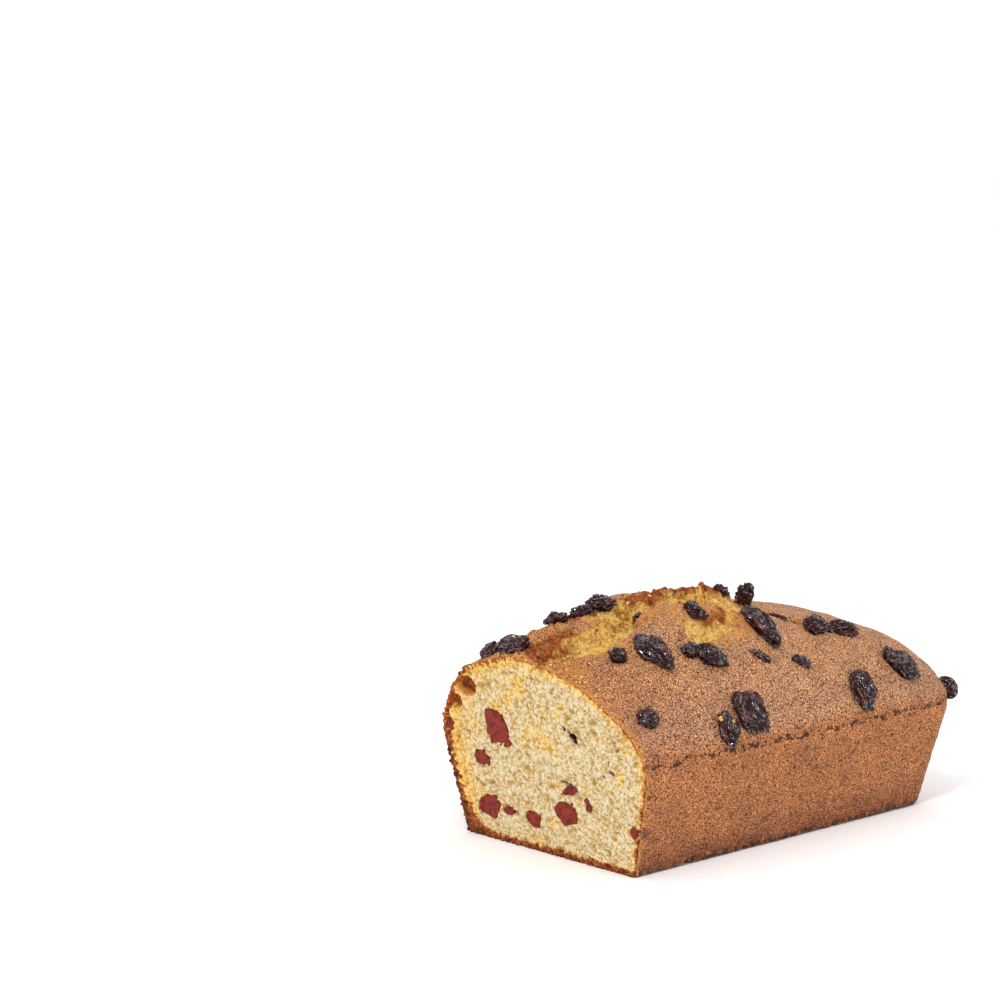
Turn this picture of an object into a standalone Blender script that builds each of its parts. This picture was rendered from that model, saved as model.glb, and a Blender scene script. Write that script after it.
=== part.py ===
"""Cranberry orange loaf, a tin-baked cake whose near end is cut away.

Metres, +Z up. The loaf lies along X: its flat cut face looks to -X, its long sides to -Y and +Y.
It stands on its flat base, and the origin is the middle of the base of its bounding box.
Dried cranberries lie in pockets of the crust, and cut ones are flush with the cut face.
"""

import math
import random

import bmesh
import bpy
from mathutils import Matrix, Vector, noise

# Loaf: the tin gave the straight sides up to the rim, and the dome rose above it.
LENGTH = 0.1675
RIM_WIDTH = 0.109
BASE_WIDTH = 0.0872
RIM_HEIGHT = 0.0438
END_SLOPE = 0.0085  # how far the far end leans out between base and rim
CUT_LEAN = 0.108  # how far the cut face leans towards -X, for each metre of height
BASE_EDGE = 0.0015
SHOULDER = 0.010
BASE_CORNER = 0.011
RIM_CORNER = 0.014

# Dome
CROWN_HEIGHT = 0.0870
CROWN_AT = 0.056
CROWN_FALL_NEAR = 0.0160
CROWN_FALL_FAR = 0.0215
RIDGE_ACROSS = 0.008
END_START = 0.080

# Rows and columns of the loaf's faces
ALONG_CELLS = 52
ACROSS_CELLS = 34
HEIGHT_CELLS = 6

# Relief of the dome: lumps, torn hollows and swollen lobes.
# A lump is its spacing and height. A tear or a swelling runs from one place on the dome,
# (along, across), to another, with a half width and a depth or height.
LUMPS = ((0.024, 0.0009), (0.009, 0.0004))
TEARS = (
    ((0.007, -0.0010), (0.020, -0.0065), 0.0080, 0.0038),
    ((0.020, -0.0065), (0.036, -0.0055), 0.0085, 0.0046),
    ((0.036, -0.0050), (0.047, 0.0020), 0.0068, 0.0036),
    ((0.050, -0.0030), (0.076, -0.0040), 0.0055, 0.0018),
    ((0.055, -0.0235), (0.073, -0.0190), 0.0075, 0.0034),
    ((0.094, -0.0070), (0.108, -0.0180), 0.0040, 0.0026),
    ((0.108, -0.0180), (0.126, -0.0270), 0.0034, 0.0022),
)
SWELLS = (
    ((0.006, 0.0180), (0.022, 0.0140), 0.012, 0.0012),
    ((0.046, 0.0070), (0.054, 0.0050), 0.010, -0.0020),
    ((0.066, 0.0040), (0.083, 0.0030), 0.011, 0.0030),
    ((0.080, -0.0040), (0.085, -0.0040), 0.009, 0.0034),
    ((0.046, -0.0180), (0.056, -0.0140), 0.009, 0.0014),
    ((0.000, 0.0400), (0.004, 0.0410), 0.013, 0.0022),
)
TEAR_CRAG = 0.0011
CRAG_SPACING = 0.005

# Cranberries on the crust: along, across, length, width, height, turn, tilt and sunk share.
# Turn, in degrees, is from the loaf's length; tilt lifts the leading end off the crust.
CRUST_BERRIES = (
    (0.0060, 0.0285, 0.0115, 0.0075, 0.0065, -95, 8, 0.36),
    (0.0048, 0.0152, 0.0130, 0.0078, 0.0078, -65, 8, 0.36),
    (0.0250, 0.0155, 0.0078, 0.0056, 0.0056, -40, 15, 0.22),
    (0.0345, 0.0132, 0.0084, 0.0058, 0.0054, -38, 10, 0.20),
    (0.0420, 0.0118, 0.0108, 0.0074, 0.0078, -48, 14, 0.22),
    (0.0206, -0.0197, 0.0066, 0.0062, 0.0064, -90, 15, 0.30),
    (0.0330, -0.0243, 0.0180, 0.0106, 0.0074, -93, 0, 0.34),
    (0.0452, -0.0040, 0.0032, 0.0028, 0.0028, 0, 0, 0.40),
    (0.0612, -0.0150, 0.0108, 0.0064, 0.0048, -10, 6, 0.33),
    (0.0450, -0.0295, 0.0062, 0.0060, 0.0056, 39, 0, 0.32),
    (0.0511, -0.0336, 0.0118, 0.0088, 0.0066, -52, 0, 0.34),
    (0.0119, -0.0426, 0.0085, 0.0080, 0.0060, 3, 0, 0.40),
    (0.0845, -0.0055, 0.0056, 0.0042, 0.0040, -40, 0, 0.26),
    (0.0985, -0.0035, 0.0135, 0.0066, 0.0066, -120, 68, 0.08),
    (0.0850, -0.0254, 0.0225, 0.0092, 0.0070, -95, 0, 0.34),
    (0.1045, -0.0150, 0.0090, 0.0042, 0.0036, -44, 0, 0.30),
    (0.1130, -0.0256, 0.0092, 0.0082, 0.0078, -22, 0, 0.28),
    (0.1262, -0.0264, 0.0130, 0.0080, 0.0082, -30, 8, 0.24),
    (0.0743, -0.0365, 0.0085, 0.0052, 0.0040, -31, 0, 0.66),
    (0.0912, -0.0401, 0.0072, 0.0056, 0.0048, -22, 0, 0.52),
    (0.1400, -0.0450, 0.0160, 0.0122, 0.0075, -57, 0, 0.34),
    (0.1132, -0.0502, 0.0145, 0.0114, 0.0068, -93, 0, 0.36),
    (0.0545, -0.0499, 0.0160, 0.0138, 0.0076, -73, 0, 0.36),
    (0.0415, -0.0520, 0.0116, 0.0080, 0.0066, -99, 0, 0.38),
    (0.1712, -0.0452, 0.0100, 0.0078, 0.0072, -60, 0, 0.24),
)
BERRY_POINT = 0.16
BERRY_WRINKLE = 0.30
POCKET_GAP = 0.00045

# Cranberries on the far slope: a row with uneven spacing and sizes.
FAR_SLOPE_BERRIES = 7
FAR_SLOPE_START = 0.026
FAR_SLOPE_END = 0.150
FAR_SLOPE_ACROSS = (0.032, 0.050)
FAR_SLOPE_STRIDE = 0.382  # share of that band between one cranberry and the next
FAR_SLOPE_LENGTH = (0.008, 0.015)
FAR_SLOPE_SINK = 0.36

# Cranberry pieces in the cut face: across, height above the base, width, height and turn.
CUT_BERRIES = (
    (0.0232, 0.0439, 0.0148, 0.0128, 58),
    (0.0328, 0.0307, 0.0082, 0.0058, 10),
    (0.0306, 0.0124, 0.0135, 0.0085, -8),
    (0.0209, 0.0126, 0.0054, 0.0032, 0),
    (0.0071, 0.0120, 0.0085, 0.0062, 20),
    (-0.0107, 0.0174, 0.0126, 0.0082, 12),
    (-0.0136, 0.0262, 0.0090, 0.0036, -18),
    (-0.0222, 0.0224, 0.0064, 0.0032, 80),
    (-0.0446, 0.0166, 0.0044, 0.0046, 30),
    (0.0486, 0.0405, 0.0044, 0.0056, 0),
)
CUT_BERRY_DEPTH = 0.0032

# Baked bubbles at the upper far corner of the cut face: across, height, and half sizes.
BUBBLES = (
    (0.0378, 0.0568, 0.0046, 0.0034, 0.0052),
    (0.0446, 0.0500, 0.0024, 0.0026, 0.0036),
)


def collection(name):
    made = bpy.data.collections.new(name)
    bpy.context.scene.collection.children.link(made)
    return made


def material(name, colour, roughness):
    made = bpy.data.materials.new(name)
    made.use_nodes = True
    shader = made.node_tree.nodes["Principled BSDF"]
    shader.inputs["Base Color"].default_value = (*colour, 1)
    shader.inputs["Roughness"].default_value = roughness
    shader.inputs["Metallic"].default_value = 0
    return made


def corner(a, b):
    """Moves a point of a square corner onto a round one of the same reach."""
    reach = math.hypot(a, b)
    if reach == 0:
        return 0.0, 0.0
    return a * max(a, b) / reach, b * max(a, b) / reach


def fade(share):
    """Smooth step from 1 at share 0 down to 0 at share 1."""
    share = min(1.0, max(0.0, share))
    return 1 - share * share * (3 - 2 * share)


def off_line(place, start, end):
    """Distance on the dome from a place to the line between two others."""
    place, start, end = Vector(place), Vector(start), Vector(end)
    run = end - start
    share = min(1.0, max(0.0, (place - start).dot(run) / run.length_squared))
    return (place - start - run * share).length


def crown(along):
    """Height of the ridge."""
    if along < CROWN_AT:
        return CROWN_HEIGHT - CROWN_FALL_NEAR * (1 - along / CROWN_AT) ** 1.3
    return CROWN_HEIGHT - CROWN_FALL_FAR * ((along - CROWN_AT) / (LENGTH - CROWN_AT)) ** 1.2


def dome(along, across):
    """Height of the smooth dome above the rim."""
    half = RIM_WIDTH / 2
    far = min(1.0, max(0.0, along / LENGTH))
    if across > RIDGE_ACROSS:
        side = (across - RIDGE_ACROSS) / (half - RIDGE_ACROSS)
        power, bend = 2.2 + 0.5 * far, 0.92 - 0.12 * far
    else:
        side = (RIDGE_ACROSS - across) / (half + RIDGE_ACROSS)
        power, bend = 2.15 + 0.5 * far, 1 - 0.3 * far
    end = max(0.0, (along - END_START) / (LENGTH - END_START))
    rise = max(0.0, 1 - min(1.0, side) ** power) ** bend
    return (crown(along) - RIM_HEIGHT) * rise * max(0.0, 1 - min(1.0, end) ** 14) ** 0.6


def relief(along, across):
    """Height that lumps, tears and swollen lobes add to the dome."""
    place = (along, across)
    height = 0.0
    for spacing, size in LUMPS:
        height += size * noise.noise(Vector((along, across, 0)) / spacing)
    for start, end, half, size in SWELLS:
        height += size * fade(off_line(place, start, end) / half)
    torn = 0.0
    for start, end, half, depth in TEARS:
        inside = fade(off_line(place, start, end) / half * 1.5 - 0.5)
        torn = max(torn, depth * inside)
    crag = noise.noise(Vector((along, across, 1)) / CRAG_SPACING)
    return height - torn + TEAR_CRAG * crag * min(1.0, torn / TEAR_CRAG)


def loaf_place(u, v, w):
    """Moves a point of the cube from -1 to 1 onto the loaf."""
    half = RIM_WIDTH / 2
    along, across, z = (u + 1) / 2 * LENGTH, v * half, (w + 1) / 2 * RIM_HEIGHT
    bend = BASE_CORNER + (RIM_CORNER - BASE_CORNER) * z / RIM_HEIGHT
    inner_x = min(along, LENGTH - bend)
    inner_y = max(-(half - bend), min(half - bend, across))
    a, b = (along - inner_x) / bend, (across - inner_y) / bend
    reach = math.hypot(a, b)
    out = max(abs(a), abs(b)) * bend
    if z < BASE_EDGE and out > bend - BASE_EDGE:
        p, q = corner((out - bend) / BASE_EDGE + 1, 1 - z / BASE_EDGE)
        out, z = bend - BASE_EDGE + BASE_EDGE * p, BASE_EDGE - BASE_EDGE * q
    if z > RIM_HEIGHT - SHOULDER and out > bend - SHOULDER:
        p, q = corner((out - bend) / SHOULDER + 1, (z - RIM_HEIGHT) / SHOULDER + 1)
        out, z = bend - SHOULDER + SHOULDER * p, RIM_HEIGHT - SHOULDER + SHOULDER * q
    if reach:
        inner_x, inner_y = inner_x + out * a / reach, inner_y + out * b / reach
    low = z / RIM_HEIGHT
    z += low * (dome(inner_x, inner_y) + relief(inner_x, inner_y) * low)
    low = min(1.0, z / RIM_HEIGHT)
    y = inner_y * (BASE_WIDTH + (RIM_WIDTH - BASE_WIDTH) * low) / RIM_WIDTH
    x = inner_x * (1 - END_SLOPE * (1 - low) / LENGTH)
    return Vector((x - CUT_LEAN * z * (1 - x / LENGTH) ** 2, y, z))


def crust_frame(along, across):
    """Place on the dome, with axes along the loaf, across it and out of the crust.

    What goes past the loaf's length goes down the far end.
    """
    half, step = RIM_WIDTH / 2, 0.0015

    def at(d_along, d_across):
        u, v = 2 * (along + d_along) / LENGTH - 1, (across + d_across) / half
        drop = max(0.0, along + d_along - LENGTH)
        u, v = min(1.0, max(-1.0, u)), min(1.0, max(-1.0, v))
        return loaf_place(u, v, 1 - 2 * drop / RIM_HEIGHT)

    run = (at(step, 0) - at(-step, 0)).normalized()
    out = run.cross(at(0, step) - at(0, -step)).normalized()
    return Matrix((run, out.cross(run), out)).transposed(), at(0, 0)


def berry_shape(bm, size, seed, grow=0.0):
    """Adds a wrinkled dried cranberry, pointed at its leading end."""
    shape = bmesh.ops.create_icosphere(bm, subdivisions=2, radius=1)["verts"]
    for vert in shape:
        fold = noise.noise(vert.co * 1.3 + Vector((seed * 7.0, 0, 0)))
        reach = 1 + BERRY_WRINKLE * (fold - 0.15)
        narrow = 1 - BERRY_POINT * vert.co.x
        half = [part / 2 + grow for part in size]
        vert.co = Vector((
            vert.co.x * reach * half[0],
            vert.co.y * reach * narrow * half[1],
            vert.co.z * reach * narrow * half[2],
        ))
    return shape


def add_object(name, bm, coll, surface=None):
    mesh = bpy.data.meshes.new(name)
    bm.to_mesh(mesh)
    bm.free()
    mesh.shade_smooth()
    obj = bpy.data.objects.new(name, mesh)
    coll.objects.link(obj)
    if surface:
        mesh.materials.append(surface)
    else:
        obj.hide_render = True
        obj.display_type = "WIRE"
    return obj


def add_crust_berry(name, row, seed, coll, surface, grow=0.0):
    along, across, length, width, height, turn, tilt, sink = row
    axes, place = crust_frame(along, across)
    place += axes.col[2] * height * (0.5 - sink)
    turned = axes @ Matrix.Rotation(math.radians(turn), 3, "Z")
    turned = turned @ Matrix.Rotation(math.radians(-tilt), 3, "Y")
    bm = bmesh.new()
    berry_shape(bm, (length, width, height), seed, grow)
    obj = add_object(name, bm, coll, surface)
    obj.matrix_world = Matrix.Translation(place) @ turned.to_4x4()
    return obj


def far_slope_rows():
    """Rows like those of CRUST_BERRIES for the slope towards +Y."""
    draw = random.Random(5)
    low, high = FAR_SLOPE_ACROSS
    rows = []
    for index in range(FAR_SLOPE_BERRIES):
        share = (index + draw.uniform(-0.3, 0.3)) / (FAR_SLOPE_BERRIES - 1)
        along = FAR_SLOPE_START + share * (FAR_SLOPE_END - FAR_SLOPE_START)
        length = draw.uniform(*FAR_SLOPE_LENGTH)
        size = (length, length * draw.uniform(0.55, 0.8), length * draw.uniform(0.42, 0.5))
        turn = draw.uniform(20, 160)
        across = low + (high - low) * ((0.5 + index * FAR_SLOPE_STRIDE) % 1)
        rows.append((along, across, *size, turn, 0, FAR_SLOPE_SINK))
    return rows


def add_cut_berry(name, row, seed, coll, surface, grow=0.0):
    """A piece whose front is flat and flush with the cut face, or its pocket, uncut."""
    across, z, width, height, turn = row
    lean = Matrix.Rotation(-math.atan(CUT_LEAN), 3, "Y") @ Matrix.Rotation(math.radians(90), 3, "Y")
    stand = lean @ Matrix.Rotation(math.radians(90 + turn), 3, "Z")
    place = Matrix.Translation((-CUT_LEAN * z, across, z)) @ stand.to_4x4()
    bm = bmesh.new()
    berry_shape(bm, (width, height, CUT_BERRY_DEPTH * 2), seed, grow)
    if surface:
        bmesh.ops.bisect_plane(
            bm, geom=bm.verts[:] + bm.edges[:] + bm.faces[:], dist=1e-6,
            plane_co=(0, 0, 0), plane_no=(0, 0, 1), clear_inner=True,
        )
        bmesh.ops.holes_fill(bm, edges=bm.edges, sides=0)
    obj = add_object(name, bm, coll, surface)
    obj.matrix_world = place
    return obj


def add_bubble(name, row, coll):
    across, z, half_width, half_height, depth = row
    bm = bmesh.new()
    bmesh.ops.create_icosphere(bm, subdivisions=2, radius=1)
    bmesh.ops.scale(bm, vec=(depth, half_width, half_height), verts=bm.verts)
    obj = add_object(name, bm, coll)
    obj.location = (-CUT_LEAN * z, across, z)
    return obj


def add_loaf(coll, surface, cutters):
    bm = bmesh.new()
    bmesh.ops.create_cube(bm, size=2.0)
    for axis, cells in enumerate((ALONG_CELLS, ACROSS_CELLS, HEIGHT_CELLS)):
        edges = [e for e in bm.edges if abs((e.verts[0].co - e.verts[1].co)[axis]) > 1e-6]
        bmesh.ops.subdivide_edges(bm, edges=edges, cuts=cells - 1, use_grid_fill=True)
    flat = [e for e in bm.edges if all(f.normal.x < -0.9 or f.normal.z < -0.9 for f in e.link_faces)]
    for vert in bm.verts:
        vert.co = loaf_place(*vert.co)
    bm.normal_update()
    bmesh.ops.dissolve_limit(bm, angle_limit=0.001, edges=flat, verts=[])
    loaf = add_object("loaf", bm, coll, surface)
    cut = loaf.modifiers.new("pockets", "BOOLEAN")
    cut.operation = "DIFFERENCE"
    cut.solver = "EXACT"
    cut.operand_type = "COLLECTION"
    cut.collection = cutters
    return loaf


def stand_on_origin(parts, cutters):
    """Moves everything so that the middle of the bounding box's base is the origin."""
    bpy.context.view_layer.update()
    corners = [obj.matrix_world @ Vector(c) for obj in parts.objects for c in obj.bound_box]
    low = [min(c[i] for c in corners) for i in range(3)]
    high = [max(c[i] for c in corners) for i in range(3)]
    shift = Vector(((low[0] + high[0]) / 2, (low[1] + high[1]) / 2, low[2]))
    for obj in [*parts.objects, *cutters.objects]:
        obj.location -= shift


def main():
    for obj in list(bpy.data.objects):
        bpy.data.objects.remove(obj)
    parts, cutters = collection("cranberry_orange_loaf"), collection("cutters")
    cake = material("cake", (0.42, 0.21, 0.09), 0.75)
    cranberry = material("cranberry", (0.05, 0.012, 0.012), 0.32)
    cut_cranberry = material("cut_cranberry", (0.27, 0.035, 0.04), 0.5)
    add_loaf(parts, cake, cutters)
    for index, row in enumerate((*CRUST_BERRIES, *far_slope_rows()), 1):
        add_crust_berry(f"cranberry_{index:02d}", row, index, parts, cranberry)
        add_crust_berry(f"pocket_{index:02d}", row, index, cutters, None, POCKET_GAP)
    for index, row in enumerate(CUT_BERRIES, 1):
        add_cut_berry(f"cut_cranberry_{index:02d}", row, index, parts, cut_cranberry)
        add_cut_berry(f"cut_pocket_{index:02d}", row, index, cutters, None, POCKET_GAP)
    for index, row in enumerate(BUBBLES, 1):
        add_bubble(f"bubble_{index:02d}", row, cutters)
    stand_on_origin(parts, cutters)


main()
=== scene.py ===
"""Looks of the cranberry orange loaf: baked crust, torn dome, cut crumb and dried cranberries.

Metres, +Z up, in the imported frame's axes. The loaf lies along X and its cut face looks to -X.
The crust and the crumb follow the same form as the solid, on a much finer grid, and the
cranberries grow out of their own solids.
"""

import math
import random

import bmesh
import bpy
import numpy as np
from bpy.props import FloatProperty, FloatVectorProperty, PointerProperty
from mathutils import Matrix, Vector, noise
from mathutils.bvhtree import BVHTree
from mathutils.kdtree import KDTree


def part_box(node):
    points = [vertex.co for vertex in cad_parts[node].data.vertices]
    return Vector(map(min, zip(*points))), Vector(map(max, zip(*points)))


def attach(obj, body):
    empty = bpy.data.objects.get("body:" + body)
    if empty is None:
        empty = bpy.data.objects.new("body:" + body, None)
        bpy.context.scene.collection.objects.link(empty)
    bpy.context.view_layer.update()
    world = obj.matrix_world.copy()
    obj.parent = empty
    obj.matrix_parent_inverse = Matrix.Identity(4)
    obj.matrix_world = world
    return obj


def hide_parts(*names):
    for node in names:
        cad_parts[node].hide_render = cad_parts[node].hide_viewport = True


bl_info = {
    "name": "Cranberry Orange Loaf",
    "version": (1, 0, 0),
    "blender": (4, 5, 0),
    "location": "3D View > Sidebar > Loaf",
    "description": "Builds the baked finish of a cranberry orange loaf around its solids",
    "category": "Object",
}

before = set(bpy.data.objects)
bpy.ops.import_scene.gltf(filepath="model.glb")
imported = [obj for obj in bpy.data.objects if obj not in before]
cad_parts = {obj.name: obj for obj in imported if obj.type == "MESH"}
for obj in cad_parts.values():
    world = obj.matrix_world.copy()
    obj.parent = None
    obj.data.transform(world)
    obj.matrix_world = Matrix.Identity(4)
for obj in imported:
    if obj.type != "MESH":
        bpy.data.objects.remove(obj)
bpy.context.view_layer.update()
BODY = "root"

# Form of the loaf, as its solid has it.
LENGTH = 0.1675
RIM_WIDTH = 0.109
BASE_WIDTH = 0.0872
RIM_HEIGHT = 0.0438
END_SLOPE = 0.0085
CUT_LEAN = 0.108
BASE_EDGE = 0.0015
SHOULDER = 0.010
BASE_CORNER = 0.011
RIM_CORNER = 0.014
CROWN_HEIGHT = 0.0870
CROWN_AT = 0.056
CROWN_FALL_NEAR = 0.0160
CROWN_FALL_FAR = 0.0215
RIDGE_ACROSS = 0.008
END_START = 0.080
SOLID_CELLS = (52, 34, 6)

# Relief of the dome: spacing and height of the lumps, then hollows and lobes from one place,
# (along, across), to another, with a half width and a depth or height.
LUMPS = ((0.024, 0.0009), (0.009, 0.0004))
TEARS = (
    ((0.007, -0.0010), (0.020, -0.0065), 0.0080, 0.0038),
    ((0.020, -0.0065), (0.036, -0.0055), 0.0085, 0.0046),
    ((0.036, -0.0050), (0.047, 0.0020), 0.0068, 0.0036),
    ((0.050, -0.0030), (0.076, -0.0040), 0.0055, 0.0018),
    ((0.055, -0.0235), (0.073, -0.0190), 0.0075, 0.0034),
    ((0.094, -0.0070), (0.108, -0.0180), 0.0040, 0.0026),
    ((0.108, -0.0180), (0.126, -0.0270), 0.0034, 0.0022),
)
SWELLS = (
    ((0.006, 0.0180), (0.022, 0.0140), 0.012, 0.0012),
    ((0.046, 0.0070), (0.054, 0.0050), 0.010, -0.0020),
    ((0.066, 0.0040), (0.083, 0.0030), 0.011, 0.0030),
    ((0.080, -0.0040), (0.085, -0.0040), 0.009, 0.0034),
    ((0.046, -0.0180), (0.056, -0.0140), 0.009, 0.0014),
    ((0.000, 0.0400), (0.004, 0.0410), 0.013, 0.0022),
)
TEAR_CRAG = 0.0011
CRAG_SPACING = 0.005

# Cells of the fine grid, and how much closer its columns stand towards the long sides.
ALONG_CELLS = 380
ACROSS_CELLS = 200
HEIGHT_CELLS = 76
CROWDING = 0.25
CUT_SPLITS = 2  # extra rows between two of the grid's rows on the cut face
AT_FACE = 0.999  # from here on, a point of the cube lies on its face
NOTHING = 1e-6  # a shorter length counts as none

# Masks that the crust and the crumb carry for their materials.
CRUST_MASKS = ("torn", "gold", "browned", "pit_shade", "foot", "stain_and_shade", "shoulder_shade", "top", "low")
CRUMB_MASKS = ("gold", "browned", "pore_shade", "fruit_and_shade", "zest")

# Where the crust is torn open: from one place on the dome to another, with a half width.
TORN = (
    ((0.007, 0.0010), (0.016, -0.0010), 0.0046),
    ((0.016, -0.0025), (0.034, -0.0048), 0.0056),
    ((0.034, -0.0040), (0.045, 0.0015), 0.0056),
    ((0.006, 0.0060), (0.018, 0.0045), 0.0036),
    ((0.036, 0.0056), (0.044, 0.0050), 0.0040),
    ((0.044, 0.0050), (0.082, 0.0035), 0.0058),
    ((0.078, -0.0030), (0.086, -0.0090), 0.0055),
    ((0.056, -0.0230), (0.073, -0.0180), 0.0050),
    ((0.075, -0.0170), (0.083, -0.0090), 0.0030),
    ((0.095, -0.0070), (0.108, -0.0180), 0.0024),
    ((0.108, -0.0180), (0.124, -0.0265), 0.0018),
)
# Torn crumb that browned: as above, with how brown.
TOASTED = (
    ((0.003, 0.0070), (0.017, 0.0052), 0.0056, 1.7),
    ((0.016, 0.0010), (0.019, 0.0020), 0.0030, 0.9),
    ((0.057, 0.0062), (0.076, 0.0072), 0.0056, 2.2),
    ((0.066, -0.0150), (0.075, -0.0130), 0.0034, 1.4),
    ((0.038, -0.0140), (0.045, -0.0060), 0.0026, 1.2),
    ((0.004, -0.0020), (0.009, -0.0050), 0.0044, 0.8),
    ((0.079, -0.0010), (0.088, -0.0030), 0.0046, 1.1),
)
# Crust that stayed golden between the tears: as above, with how golden.
GOLDEN = (
    ((0.003, 0.0200), (0.034, 0.0150), 0.0080, 0.45),
    ((0.004, -0.0090), (0.028, -0.0150), 0.0036, 0.60),
    ((0.002, -0.0040), (0.006, -0.0150), 0.0040, 0.85),
    ((0.001, -0.0150), (0.001, -0.0320), 0.0010, 0.70),
    ((0.047, -0.0070), (0.056, -0.0100), 0.0060, 0.80),
    ((0.047, -0.0170), (0.058, -0.0200), 0.0034, 0.45),
    ((0.064, -0.0260), (0.084, -0.0220), 0.0046, 0.80),
    ((0.060, -0.0080), (0.078, -0.0070), 0.0060, 0.70),
)
# Crust that broke into flakes: as above, with a half width.
FLAKED = (
    ((0.008, 0.0010), (0.044, 0.0000), 0.0050),
    ((0.050, 0.0040), (0.084, -0.0010), 0.0060),
    ((0.002, -0.0050), (0.010, -0.0110), 0.0060),
    ((0.008, 0.0130), (0.034, 0.0090), 0.0080),
    ((0.044, 0.0080), (0.080, 0.0070), 0.0070),
    ((0.036, -0.0150), (0.043, -0.0080), 0.0030),
)
FLAKE = 0.0040
FLAKE_RISE = 0.0015
FLAKE_CRACK = 0.16
TORN_EDGE = 0.0008
TORN_FRINGE = 0.0045
TOASTED_BLUR = 0.0050
GOLDEN_BLUR = 0.0040
FLAKED_BLUR = 0.0030
TORN_RAGGED = 0.0016
TORN_STEP = 0.0013
TORN_ROUGH = 0.0006
CRAG_FINE = 0.0042
CRAG_RIDGES = 0.0060
CRAG_RISE = 0.0015

# Spacing of the noises that shape the crust.
GRAIN_SPACING = 0.0021
RAGGED_SPACING = 0.0042
WAVE_SPACING = 0.02
PATCH_SPACING = 0.03

# Small holes: spacing, share of the cells that have one, and radius of the largest.
CRUST_HOLES = ((0.0062, 0.16, 0.00100), (0.0032, 0.14, 0.00070))
RIM_HOLES = ((0.0026, 0.75, 0.00130),)
FOOT_HOLES = ((0.0034, 0.60, 0.00150),)
CRUMB_HOLES = (
    (0.0075, 0.30, 0.00260),
    (0.0052, 0.26, 0.00180),
    (0.0030, 0.50, 0.00125),
    (0.0017, 0.40, 0.00080),
)

RIM_LINE = 0.0415
COLLAR_REACH = 0.0016
DARK_RING_REACH = 0.0013
POCKET_GAP = 0.0003
CUT_SINK = 0.0007
PROBE = 0.012
PROBE_SLACK = 0.0002

# Fruit that shows through the long side's crust: along, height, half length, half height, turn.
SIDE_STAINS = (
    (0.0808, 0.0354, 0.0022, 0.0015, 35),
    (0.1087, 0.0293, 0.0030, 0.0012, 40),
    (0.1503, 0.0191, 0.0024, 0.0010, 60),
    (0.1075, 0.0187, 0.0034, 0.0009, 60),
    (0.1054, 0.0111, 0.0018, 0.0012, 0),
    (0.1427, 0.0032, 0.0052, 0.0016, 20),
    (0.0679, 0.0112, 0.0042, 0.0012, 35),
    (0.0639, 0.0043, 0.0018, 0.0026, 75),
    (0.0495, 0.0021, 0.0020, 0.0016, 0),
    (0.0472, 0.0150, 0.0018, 0.0012, 45),
    (0.0030, 0.0163, 0.0026, 0.0034, 70),
    (0.0144, 0.0406, 0.0012, 0.0010, 0),
)
FAR_STAINS = 12

# Marks of the cut face: across, height, half length, half height, turn, depth and fruit share.
# Their fruit is painted near black, which is painted shade in the slit as well as fruit
CUT_MARKS = (
    (-0.0158, 0.0462, 0.0033, 0.0010, 42, 0.0018, 1.0),
    (-0.0116, 0.0490, 0.0012, 0.0008, 42, 0.0014, 1.0),
    (-0.0343, 0.0365, 0.0016, 0.0007, 20, 0.0012, 0.8),
    (-0.0382, 0.0455, 0.0012, 0.0006, -30, 0.0009, 0.7),
    (0.0153, 0.0652, 0.0042, 0.0006, -12, 0.0009, 0.2),
    (-0.0330, 0.0400, 0.0009, 0.0005, 40, 0.0009, 0.9),
    (-0.0300, 0.0345, 0.0008, 0.0006, 0, 0.0009, 0.8),
    (-0.0118, 0.0284, 0.0042, 0.0007, 12, 0.0010, 0.7),
)

# Small crumbs lying loose: from one place on the dome to another, with how far they
# stray, how many there are and the largest one's half size.
CRUMB_TRAILS = (
    ((0.006, -0.0010), (0.045, -0.0010), 0.0050, 26, 0.0006),
    ((0.045, 0.0060), (0.085, 0.0000), 0.0050, 20, 0.0007),
    ((0.001, -0.0040), (0.004, -0.0300), 0.0020, 22, 0.0006),
    ((0.001, 0.0050), (0.003, 0.0300), 0.0020, 12, 0.0007),
    ((0.055, -0.0230), (0.075, -0.0190), 0.0040, 12, 0.0005),
    ((0.0387, -0.0489), (0.0395, -0.0493), 0.0004, 6, 0.0009),
    ((0.0725, -0.0365), (0.0760, -0.0365), 0.0018, 8, 0.0004),
    ((0.030, -0.0300), (0.140, -0.0300), 0.0180, 20, 0.0003),
)
# Baked bubbles of the cut face: across, height, half length, half height, turn and depth.
BUBBLES = (
    (0.0392, 0.0568, 0.0056, 0.0038, 0, 0.0050),
    (0.0458, 0.0500, 0.0036, 0.0028, 0, 0.0034),
)

# Finish: how fine each pattern is, in cells to the metre, the grain's darkest and lightest tone,
# which also paint shade and highlights on its bumps, how deep each bump is, and the width and
# wander of the painted shade along the seam left by the tin's rim.
GRAIN_SCALE = 2000.0
GRAIN_DARK_AND_SHADE = (0.31, 0.18, 0.14, 1)
GRAIN_LIGHT_AND_HIGHLIGHT = (1.68, 2.00, 2.12, 1)
DOT_SCALE = 700.0
LUMP_SCALE = 480.0
CRUMB_GRAIN_SCALE = 1500.0
CRUMB_CELL_SCALE = 900.0
SKIN_SCALE = 900.0
FLESH_SCALE = 1400.0
CRUST_BUMP = 0.0003
CRUMB_BUMP = 0.0006
SKIN_BUMP = 0.0004
FLESH_BUMP = 0.0002
SEAM_OUTSIDE = 0.0011
SEAM_INSIDE = 0.0006
SEAM_WANDER = 0.008

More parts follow.
